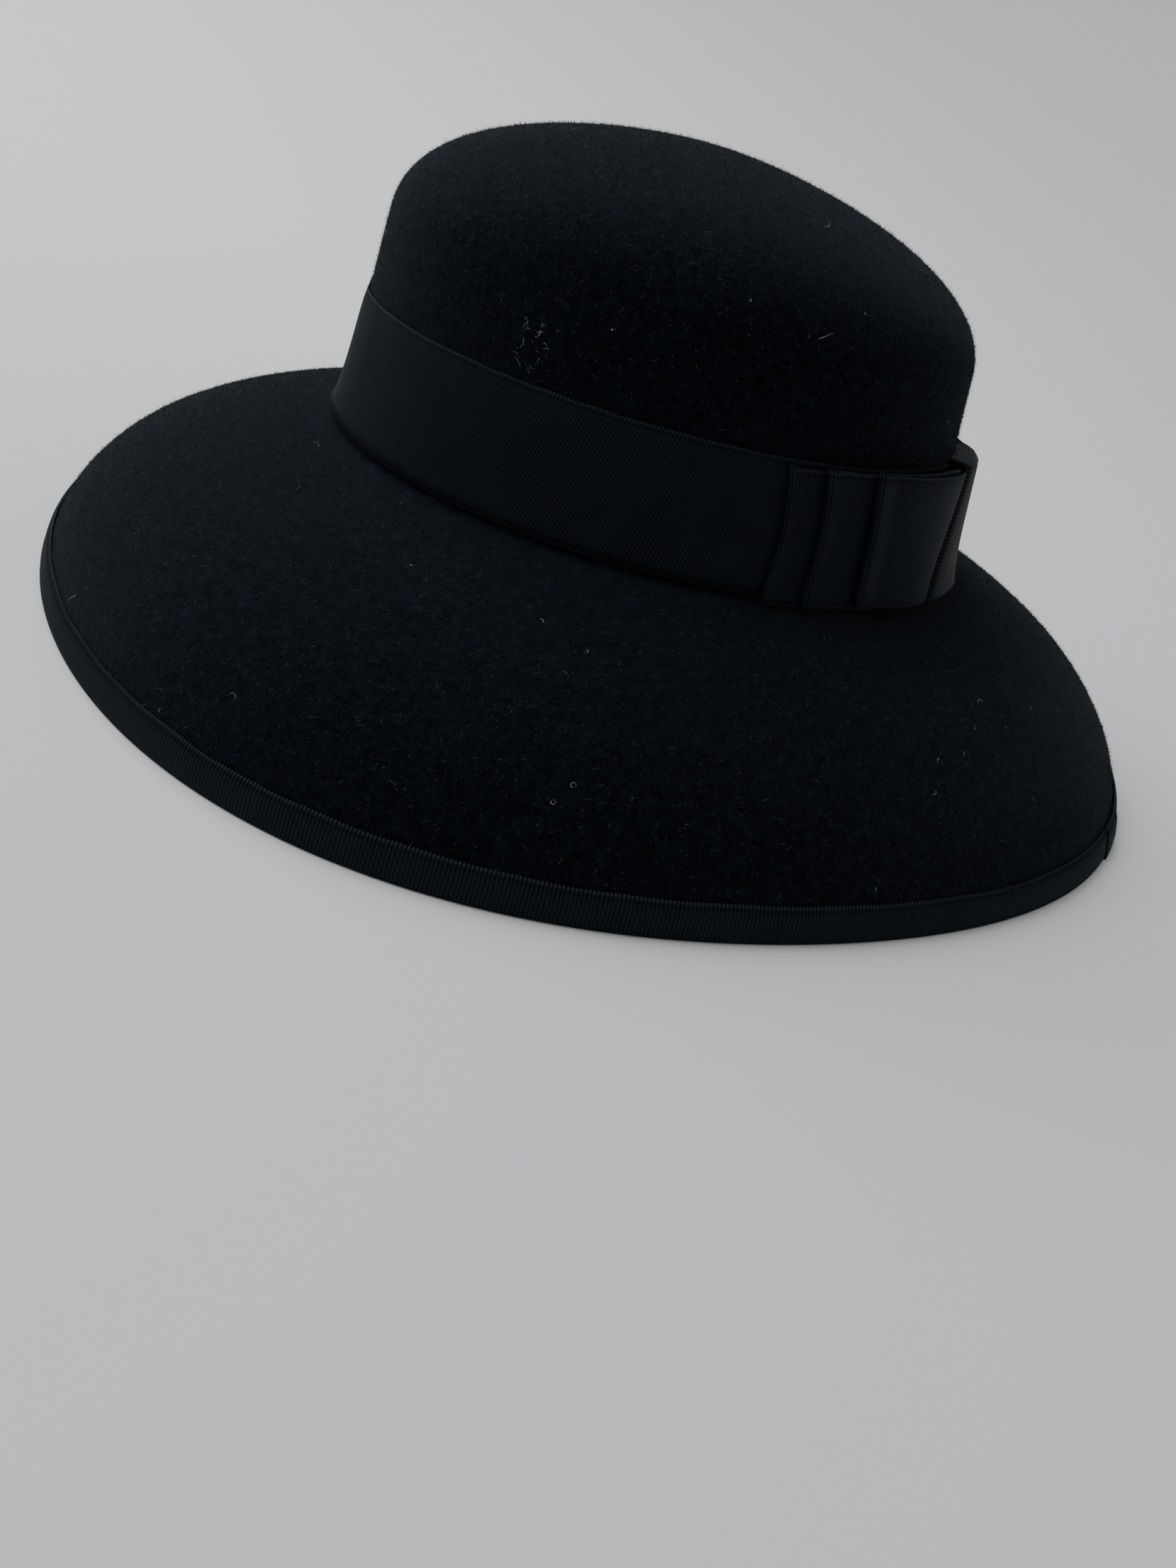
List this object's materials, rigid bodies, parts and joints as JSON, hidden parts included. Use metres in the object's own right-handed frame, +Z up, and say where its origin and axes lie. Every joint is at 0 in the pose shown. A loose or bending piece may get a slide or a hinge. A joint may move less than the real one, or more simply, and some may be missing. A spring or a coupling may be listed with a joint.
{
  "type": "droop brim hat",
  "caption": "Round-crowned felt hat with a wide brim that droops to a level rim, a ribbed ribbon band with a flat layered bow at the back, and a ribbon-bound edge.",
  "frame": {"origin": "on the plane that the rim stands on, under the middle of the hat's bounding box", "axes": "+Z up through the crown, the front of the hat towards -Y, the wearer's left towards +X"},
  "size_m": [0.346, 0.3635, 0.1505],
  "materials": {
    "felt": "blocked fur felt, black, short nap",
    "ribbon": "black grosgrain ribbon, fine cross ribs, soft sheen"
  },
  "bodies": {
    "root": {"felt_body": "felt", "hat_band": "ribbon", "brim_binding": "ribbon", "bow_loop_long": "ribbon", "bow_loop_middle": "ribbon", "bow_loop_short": "ribbon", "bow_knot": "ribbon"}
  },
  "joints": []
}
